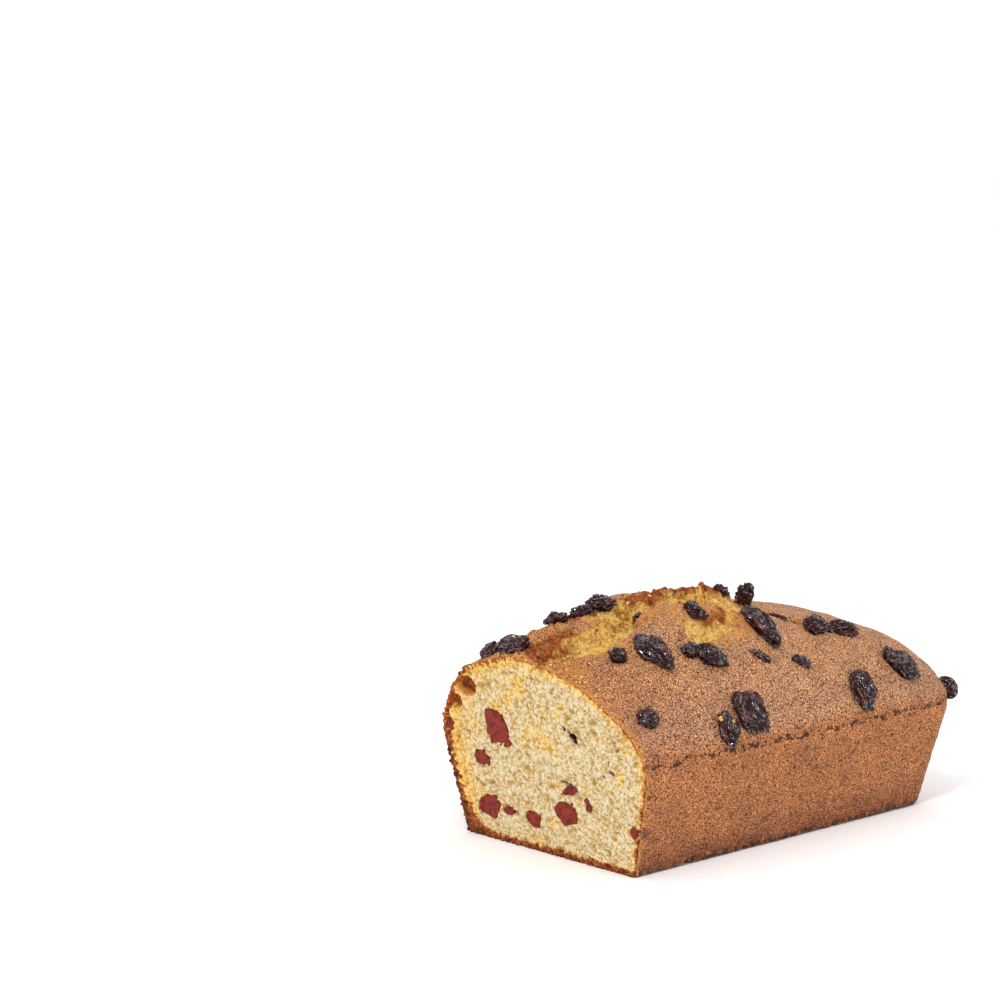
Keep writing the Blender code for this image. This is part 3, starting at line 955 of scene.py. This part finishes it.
def scattered_crumbs(trees):
    """Small uneven crumbs, each a closed lump, along their trails."""
    draw = random.Random(23)
    bm = bmesh.new()
    for start, end, stray, count, most in CRUMB_TRAILS:
        for _ in range(count):
            share = draw.random()
            along = start[0] + (end[0] - start[0]) * share + draw.uniform(-stray, stray)
            across = start[1] + (end[1] - start[1]) * share + draw.uniform(-stray, stray)
            place, out = resting_place(trees, max(0.0005, along), across)
            half = most * draw.uniform(0.35, 1.0)
            lump = bmesh.ops.create_icosphere(bm, subdivisions=2, radius=half)["verts"]
            squash = [draw.uniform(0.6, 1.2) for _ in range(3)]
            for vert in lump:
                bend = drift(vert.co / half * 0.9 + place * 900)
                vert.co = Vector(a * b for a, b in zip(vert.co, squash)) + bend * half * 0.9
                vert.co += place + out * half * 0.3
    return bm


# ---------------------------------------------------------------- materials


def node(tree, kind, inputs=None, **settings):
    """Adds a node, sets it and links or sets its inputs. A socket value makes a link."""
    made = tree.nodes.new(kind)
    for key, value in settings.items():
        setattr(made, key, value)
    for key, value in (inputs or {}).items():
        if isinstance(value, bpy.types.NodeSocket):
            tree.links.new(value, made.inputs[key])
        else:
            made.inputs[key].default_value = value
    return made


def mask(tree, name):
    return node(tree, "ShaderNodeAttribute", attribute_name=name).outputs["Fac"]


def mix(tree, share, a, b, blend="MIX"):
    """Colour between two others. Sockets 6 and 7 of a mix are its colours."""
    a, b = (c if isinstance(c, bpy.types.NodeSocket) else (*c, 1) for c in (a, b))
    made = node(tree, "ShaderNodeMix", data_type="RGBA", blend_type=blend)
    for index, value in ((0, share), (6, a), (7, b)):
        if isinstance(value, bpy.types.NodeSocket):
            tree.links.new(value, made.inputs[index])
        else:
            made.inputs[index].default_value = value
    return made.outputs[2]


def sums(tree, operation, a, b):
    return node(tree, "ShaderNodeMath", {0: a, 1: b}, operation=operation).outputs[0]


def span(tree, value, low, high, to_low=0.0, to_high=1.0):
    inputs = {0: value, 1: low, 2: high, 3: to_low, 4: to_high}
    return node(tree, "ShaderNodeMapRange", inputs, interpolation_type="SMOOTHSTEP").outputs[0]


def noise_at(tree, place, scale, detail=3.0, rough=0.6):
    inputs = {"Vector": place, "Scale": scale, "Detail": detail, "Roughness": rough}
    return node(tree, "ShaderNodeTexNoise", inputs).outputs[0]


def object_place(tree):
    return node(tree, "ShaderNodeTexCoord").outputs["Object"]


def shader_group(name, inputs, outputs):
    """An empty node group with those sockets, and its input and output nodes."""
    group = bpy.data.node_groups.new(name, "ShaderNodeTree")
    for direction, sockets in (("INPUT", inputs), ("OUTPUT", outputs)):
        for label, kind in sockets.items():
            group.interface.new_socket(label, in_out=direction, socket_type="NodeSocket" + kind)
    entry = group.nodes.new("NodeGroupInput")
    leave = group.nodes.new("NodeGroupOutput")
    return group, entry.outputs, leave.inputs


def grain_group():
    """Fine uneven grain: a tone to multiply by, from a dark one to a light one, and a height."""
    group, given, result = shader_group(
        "Baked grain and relief light",
        {"Place": "Vector", "Scale": "Float", "Dark": "Color", "Light": "Color"},
        {"Tone": "Color", "Height": "Float"},
    )
    fine = noise_at(group, given["Place"], given["Scale"], 2.0, 0.6)
    # The tone follows the height: painted shade in the grain's dips and painted highlight on its
    # bumps, over its own uneven colour
    height = span(group, fine, 0.37, 0.63)
    group.links.new(mix(group, height, given["Dark"], given["Light"]), result["Tone"])
    group.links.new(height, result["Height"])
    return group


def crumb_group(colours):
    """Look of the open crumb, cut or torn."""
    group, given, result = shader_group(
        "Open crumb",
        {"Place": "Vector", "Gold": "Float", "Browned": "Float", "Pore": "Float"},
        {"Color": "Color", "Height": "Float"},
    )
    place = given["Place"]
    lumps = noise_at(group, place, LUMP_SCALE, 4.0, 0.65)
    grain = noise_at(group, place, CRUMB_GRAIN_SCALE, 3.0, 0.7)
    inputs = {"Vector": place, "Scale": CRUMB_CELL_SCALE}
    cells = node(group, "ShaderNodeTexVoronoi", inputs).outputs[0]
    pitted = sums(group, "MULTIPLY", sums(group, "SUBTRACT", grain, cells), 0.4)
    height = sums(group, "ADD", sums(group, "MULTIPLY", lumps, 0.6), pitted)
    pale = mix(group, given["Gold"], colours.crumb, colours.crumb_gold)
    low = mix(group, given["Gold"], colours.crumb_pore_shade, colours.crumb_hollow_shade)
    # Pores and low spots take the darker colours and lumps the pale ones: painted shade in the
    # hollows
    colour = mix(group, span(group, height, 0.12, 0.38), low, pale)
    colour = mix(group, sums(group, "MULTIPLY", given["Pore"], 0.85), colour, low)
    # A shaded and a lit copy of the toasted colour by height: painted shade in hollows, painted
    # light on lumps
    painted_shade, painted_light = ([c * tone for c in colours.toasted] for tone in (0.40, 1.45))
    brown = mix(group, span(group, height, 0.1, 0.44), painted_shade, painted_light)
    colour = mix(group, given["Browned"], colour, brown)
    # Browned low spots go near black: char, with painted shade in the hollows
    char_and_shade = sums(group, "SUBTRACT", given["Browned"], height)
    colour = mix(group, span(group, char_and_shade, 0.7, 1.6, 0.0, 0.8), colour, colours.hole_shade)
    group.links.new(colour, result["Color"])
    group.links.new(height, result["Height"])
    return group


def use_group(tree, group, **inputs):
    return node(tree, "ShaderNodeGroup", inputs, node_tree=group).outputs


def principled(name, **values):
    made = bpy.data.materials.new(name)
    made.use_nodes = True
    shader = made.node_tree.nodes["Principled BSDF"]
    for key, value in values.items():
        shader.inputs[key.replace("_", " ")].default_value = value
    return made, made.node_tree, shader


def finish_surface(tree, shader, colour, rough, height, depth):
    """Rough holds a value, and the roughness where it is 0 and where it is 1."""
    value, smooth, dull = rough
    tree.links.new(colour, shader.inputs["Base Color"])
    tree.links.new(span(tree, value, 0, 1, smooth, dull), shader.inputs["Roughness"])
    bump = node(tree, "ShaderNodeBump", {"Height": height, "Distance": depth})
    tree.links.new(bump.outputs[0], shader.inputs["Normal"])


def pit_dot_shade(tree, place):
    """Small dots in a few cells of a pattern, faint on torn crust: painted shade of tiny pits."""
    dots = node(tree, "ShaderNodeTexVoronoi", {"Vector": place, "Scale": DOT_SCALE})
    rare = node(tree, "ShaderNodeSeparateColor", {0: dots.outputs["Color"]}).outputs[0]
    rare = span(tree, rare, 0.66, 0.70)
    dot = sums(tree, "MULTIPLY", span(tree, dots.outputs[0], 0.36, 0.24), rare)
    return sums(tree, "MULTIPLY", dot, span(tree, mask(tree, "torn"), 0.0, 1.0, 1.0, 0.15))


def seam_and_foot_shade(tree, place):
    """Painted shade: a broken dark line along the tin's rim, and one along the foot."""
    broken = span(tree, noise_at(tree, place, LUMP_SCALE, 2.0, 0.6), 0.50, 0.55)
    height_up = node(tree, "ShaderNodeSeparateXYZ", {0: place}).outputs[2]
    wander = sums(tree, "SUBTRACT", noise_at(tree, place, 120), 0.5)
    wander = sums(tree, "MULTIPLY", wander, SEAM_WANDER)
    off_seam = sums(tree, "SUBTRACT", sums(tree, "ADD", height_up, wander), RIM_LINE)
    seam = span(tree, sums(tree, "ABSOLUTE", off_seam, 0.0), SEAM_OUTSIDE, SEAM_INSIDE)
    seam = sums(tree, "MAXIMUM", seam, mask(tree, "foot"))
    return sums(tree, "MULTIPLY", broken, seam)


def crust_material(colours, grain, crumb):
    made, tree, shader = principled("baked_crust", Specular_IOR_Level=0.25)
    place = object_place(tree)
    fine = use_group(
        tree, grain, Place=place, Scale=GRAIN_SCALE, Dark=GRAIN_DARK_AND_SHADE, Light=GRAIN_LIGHT_AND_HIGHLIGHT,
    )
    broad = noise_at(tree, place, 90, 3.0, 0.55)
    # The dome's own crust colour with painted sheen
    colour = mix(tree, mask(tree, "top"), colours.crust, colours.crust_top_and_sheen)
    colour = mix(tree, mask(tree, "low"), colour, colours.crust_low)
    # Painted shade on the shoulder
    colour = mix(tree, sums(tree, "MULTIPLY", mask(tree, "shoulder_shade"), 0.5), colour, colours.shoulder_shade)
    colour = mix(tree, mask(tree, "gold"), colour, colours.gold)
    shade = span(tree, broad, 0.3, 0.7, 0.86, 1.1)
    shade = node(tree, "ShaderNodeCombineColor", {0: shade, 1: shade, 2: shade}).outputs[0]
    colour = mix(tree, 1.0, colour, shade, "MULTIPLY")
    plain = span(tree, mask(tree, "gold"), 0.0, 1.0, 1.0, 0.45)
    colour = mix(tree, plain, colour, fine["Tone"], "MULTIPLY")
    open_crumb = use_group(
        tree, crumb, Place=place, Gold=span(tree, broad, 0.36, 0.64, 0.8, 1.0),
        Browned=mask(tree, "browned"), Pore=mask(tree, "pit_shade"),
    )
    colour = mix(tree, mask(tree, "torn"), colour, open_crumb["Color"])
    # Fruit stains, and painted shade under each cranberry with a darker ring round it
    colour = mix(tree, sums(tree, "MULTIPLY", mask(tree, "stain_and_shade"), 0.85), colour, colours.stain_and_shade)
    # Painted shade of tiny pits, which also dent the bump
    dot = pit_dot_shade(tree, place)
    # Painted shade: holes, pores, cracks, tiny pits and the lines along the rim and foot go near
    # black
    painted_shade = sums(tree, "MAXIMUM", mask(tree, "pit_shade"), sums(tree, "MULTIPLY", dot, 0.8))
    painted_shade = sums(tree, "MAXIMUM", painted_shade, seam_and_foot_shade(tree, place))
    colour = mix(tree, sums(tree, "MULTIPLY", painted_shade, 0.92), colour, colours.hole_shade)
    height = sums(tree, "SUBTRACT", sums(tree, "MULTIPLY", fine["Height"], 0.7), dot)
    rubble = sums(tree, "MULTIPLY", mask(tree, "torn"), 3.0)
    rubble = sums(tree, "MULTIPLY", open_crumb["Height"], rubble)
    height = sums(tree, "ADD", height, rubble)
    finish_surface(tree, shader, colour, (fine["Height"], 0.62, 0.8), height, CRUST_BUMP)
    return made


def crumb_material(colours, crumb):
    made, tree, shader = principled("cut_crumb", Specular_IOR_Level=0.2)
    place = object_place(tree)
    look = use_group(
        tree, crumb, Place=place, Gold=mask(tree, "gold"), Browned=mask(tree, "browned"),
        Pore=mask(tree, "pore_shade"),
    )
    colour = mix(tree, sums(tree, "MULTIPLY", mask(tree, "zest"), 0.7), look["Color"], colours.zest)
    # Fruit marks and the pockets round cut cranberries go near black: fruit colour with painted
    # shade
    colour = mix(tree, mask(tree, "fruit_and_shade"), colour, [c * 0.12 for c in colours.flesh_dark])
    rough = (look["Height"], 0.75, 0.9)
    finish_surface(tree, shader, colour, rough, look["Height"], CRUMB_BUMP)
    return made


def loose_material(colours, crumb):
    made, tree, shader = principled("loose_crumb", Specular_IOR_Level=0.2)
    place = object_place(tree)
    browned = span(tree, noise_at(tree, place, 300, 2.0), 0.45, 0.65)
    look = use_group(tree, crumb, Place=place, Gold=0.6, Browned=browned, Pore=0.0)
    rough = (look["Height"], 0.75, 0.9)
    finish_surface(tree, shader, look["Color"], rough, look["Height"], CRUST_BUMP)
    return made


def wrinkle_group():
    """Fine crinkles of dried fruit."""
    group, given, result = shader_group(
        "Fruit crinkle",
        {"Place": "Vector", "Scale": "Float"},
        {"Height": "Float", "Patch": "Float"},
    )
    fine = noise_at(group, given["Place"], given["Scale"], 1.0, 0.5)
    folds = sums(group, "ABSOLUTE", sums(group, "SUBTRACT", fine, 0.5), 0.0)
    group.links.new(span(group, folds, 0.14, 0.0), result["Height"])
    broad = sums(group, "MULTIPLY", given["Scale"], 0.3)
    group.links.new(span(group, noise_at(group, given["Place"], broad), 0.42, 0.68), result["Patch"])
    return group


def skin_material(colours, wrinkle):
    made, tree, shader = principled(
        "cranberry_skin", Specular_IOR_Level=0.15, Coat_Roughness=0.12, Coat_IOR=2.0,
    )
    place = node(tree, "ShaderNodeAttribute", attribute_name="own").outputs["Vector"]
    fine = use_group(tree, wrinkle, Place=place, Scale=SKIN_SCALE)
    red = span(tree, fine["Patch"], 0.5, 1.0)
    colour = mix(tree, red, colours.skin, colours.skin_red)
    # Painted shade in the folds: the creases take a darker copy of the skin
    deep = sums(tree, "MULTIPLY", mask(tree, "crease"), 0.7)
    colour = mix(tree, deep, colour, [c * 0.4 for c in colours.skin])
    gloss = span(tree, mask(tree, "crease"), 0.9, 0.3, 0.06, 1.0)
    lit = sums(tree, "MULTIPLY", gloss, span(tree, fine["Height"], 0.4, 0.95, 0.05, 1.0))
    tree.links.new(lit, shader.inputs["Coat Weight"])
    finish_surface(tree, shader, colour, (fine["Patch"], 0.25, 0.40), fine["Height"], SKIN_BUMP)
    return made


def flesh_material(colours, wrinkle):
    made, tree, shader = principled("cranberry_flesh", Specular_IOR_Level=0.2)
    place = object_place(tree)
    fine = use_group(tree, wrinkle, Place=place, Scale=FLESH_SCALE)
    colour = mix(tree, fine["Patch"], colours.flesh, colours.flesh_dark)
    colour = mix(tree, sums(tree, "MULTIPLY", fine["Height"], 0.3), colour, colours.flesh_dark)
    finish_surface(tree, shader, colour, (fine["Patch"], 0.5, 0.65), fine["Height"], FLESH_BUMP)
    return made


def ready(name, make):
    """The node group or material of that name, made when first asked for."""
    found = bpy.data.node_groups.get(name) or bpy.data.materials.get(name)
    return found or make()


def grain():
    return ready("Baked grain and relief light", grain_group)


def crumb_look(colours):
    return ready("Open crumb", lambda: crumb_group(colours))


def crinkle():
    return ready("Fruit crinkle", wrinkle_group)


# ---------------------------------------------------------------- operators


def numbered(start):
    return sorted(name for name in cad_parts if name.startswith(start))


def loaf_shell(scene):
    """The finished crust, shaped once for all pieces that are cut from it."""
    if "shell" not in SHARED:
        draw = random.Random(11)
        far = [
            (draw.uniform(0.01, 0.16), draw.uniform(0.003, 0.038), draw.uniform(0.0015, 0.0035),
             draw.uniform(0.0008, 0.0016), draw.uniform(0, 180))
            for _ in range(FAR_STAINS)
        ]
        berries = joined_solids(numbered("cranberry_"))
        SHARED["shell"] = crust_shell(scene.loaf_sizes, berries, (SIDE_STAINS, far))
    return SHARED["shell"]


class LOAF_OT_crust(bpy.types.Operator):
    """Make the baked crust: the torn dome, and the sides with the end and the base"""

    bl_idname = "loaf.crust"
    bl_label = "Crust"

    def execute(self, context):
        shell = loaf_shell(context.scene)
        colours = context.scene.loaf_colours
        surface = crust_material(colours, grain(), crumb_look(colours))
        top = part_of(shell, lambda c: c.z > AT_FACE)
        lay_out_map(top, dome_map)
        finish_piece("loaf_dome", top, surface, ["loaf"])
        sides = part_of(shell, lambda c: c.z < AT_FACE and c.x > -AT_FACE)
        cube = sides.verts.layers.float_vector["cube"]
        low = {v for v in sides.verts if v[cube].z < -AT_FACE}
        foot = [e for e in sides.edges if e.is_boundary and low.issuperset(e.verts)]
        ends = [v for v in sides.verts if v in low and v[cube].x < -AT_FACE]
        foot.append(sides.edges.new(ends))
        bmesh.ops.contextual_create(sides, geom=foot)
        lay_out_map(sides, sides_map)
        finish_piece("loaf_sides", sides, surface, ["loaf"])
        return {"FINISHED"}


class LOAF_OT_crumb(bpy.types.Operator):
    """Make the crumb of the cut face"""

    bl_idname = "loaf.crumb"
    bl_label = "Crumb"

    def execute(self, context):
        colours = context.scene.loaf_colours
        berries = joined_solids(numbered("cut_cranberry_"))
        bm = crumb_face(loaf_shell(context.scene), context.scene.loaf_sizes, berries)
        lay_out_map(bm, lambda cube, _: (0.5 - cube.y * 0.49, 0.5 + cube.z * 0.49))
        surface = crumb_material(colours, crumb_look(colours))
        finish_piece("loaf_crumb", bm, surface, ["loaf"])
        return {"FINISHED"}


class LOAF_OT_loose_crumbs(bpy.types.Operator):
    """Scatter the small loose crumbs over the dome and its cut edge"""

    bl_idname = "loaf.loose_crumbs"
    bl_label = "Loose crumbs"

    def execute(self, context):
        colours = context.scene.loaf_colours
        trees = [
            BVHTree.FromBMesh(loaf_shell(context.scene)), joined_solids(numbered("cranberry_")),
        ]
        surface = loose_material(colours, crumb_look(colours))
        finish_piece("loose_crumbs", scattered_crumbs(trees), surface, ["loaf"])
        return {"FINISHED"}


class LOAF_OT_cranberries(bpy.types.Operator):
    """Make the dried cranberries that lie in the crust"""

    bl_idname = "loaf.cranberries"
    bl_label = "Cranberries"

    def execute(self, context):
        surface = skin_material(context.scene.loaf_colours, crinkle())
        for seed, name in enumerate(numbered("cranberry_"), 1):
            add_cranberry(name, surface, context.scene.loaf_sizes.fold, seed)
        return {"FINISHED"}


class LOAF_OT_cut_cranberries(bpy.types.Operator):
    """Make the cranberry pieces in the cut face"""

    bl_idname = "loaf.cut_cranberries"
    bl_label = "Cut cranberries"

    def execute(self, context):
        surface = flesh_material(context.scene.loaf_colours, crinkle())
        for seed, name in enumerate(numbered("cut_cranberry_"), 1):
            add_cut_cranberry(name, surface, seed)
        return {"FINISHED"}


def add_light(name, place, size, power):
    lamp = bpy.data.lights.new(name, "AREA")
    lamp.shape = "DISK"
    lamp.size = size
    lamp.energy = power
    obj = add_object(name, lamp)
    obj.location = place
    obj.rotation_euler = (Vector(LIGHT_AIM) - Vector(place)).to_track_quat("-Z", "Y").to_euler()


class LOAF_OT_stage(bpy.types.Operator):
    """Make the pale floor, the soft lights and the camera"""

    bl_idname = "loaf.stage"
    bl_label = "Stage"

    def execute(self, context):
        scene = context.scene
        scene.view_settings.view_transform = "Standard"
        bm = bmesh.new()
        bmesh.ops.create_grid(bm, x_segments=4, y_segments=4, size=FLOOR_REACH)
        mesh = bpy.data.meshes.new("floor")
        bm.to_mesh(mesh)
        bm.free()
        paint, _, shader = principled("floor", Roughness=0.8)
        shader.inputs["Base Color"].default_value = (*scene.loaf_colours.floor, 1)
        mesh.materials.append(paint)
        floor = add_object("floor", mesh)

        world = bpy.data.worlds.new("studio")
        world.use_nodes = True
        sky = world.node_tree.nodes["Background"]
        sky.inputs["Strength"].default_value = SKY_STRENGTH
        sky.inputs["Color"].default_value = (1, 1, 1, 1)
        scene.world = world
        for name, (place, size, power) in LIGHTS.items():
            add_light(name, place, size, power)

        lens = bpy.data.cameras.new("camera")
        lens.lens = CAMERA_LENS
        lens.sensor_width = CAMERA_SENSOR
        camera = add_object("camera", lens)
        low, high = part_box("loaf")
        camera.location = Vector((high.x, (low.y + high.y) / 2, low.z)) + Vector(CAMERA_FROM_FAR_END)
        camera.rotation_euler = (
            math.radians(90 - CAMERA_ELEVATION), 0, math.radians(-CAMERA_AZIMUTH),
        )
        scene.camera = camera
        return {"FINISHED"}


class LOAF_PT_panel(bpy.types.Panel):
    """Lists the loaf's steps and settings"""

    bl_idname = "LOAF_PT_panel"
    bl_label = "Cranberry orange loaf"
    bl_space_type = "VIEW_3D"
    bl_region_type = "UI"
    bl_category = "Loaf"

    def draw(self, context):
        for step in STEPS:
            self.layout.operator(step.bl_idname)
        for group in (context.scene.loaf_sizes, context.scene.loaf_colours):
            for name in group.bl_rna.properties.keys():
                if name not in ("rna_type", "name"):
                    self.layout.prop(group, name)


STEPS = (
    LOAF_OT_crust,
    LOAF_OT_crumb,
    LOAF_OT_loose_crumbs,
    LOAF_OT_cranberries,
    LOAF_OT_cut_cranberries,
    LOAF_OT_stage,
)
CLASSES = (LoafSizes, LoafColours, *STEPS, LOAF_PT_panel)


def register():
    for each in CLASSES:
        bpy.utils.register_class(each)
    bpy.types.Scene.loaf_sizes = PointerProperty(type=LoafSizes)
    bpy.types.Scene.loaf_colours = PointerProperty(type=LoafColours)


def unregister():
    del bpy.types.Scene.loaf_colours
    del bpy.types.Scene.loaf_sizes
    for each in reversed(CLASSES):
        bpy.utils.unregister_class(each)


def main():
    register()
    bpy.ops.loaf.crust()
    bpy.ops.loaf.crumb()
    bpy.ops.loaf.loose_crumbs()
    bpy.ops.loaf.cranberries()
    bpy.ops.loaf.cut_cranberries()
    bpy.ops.loaf.stage()


if __name__ == "__main__":
    main()
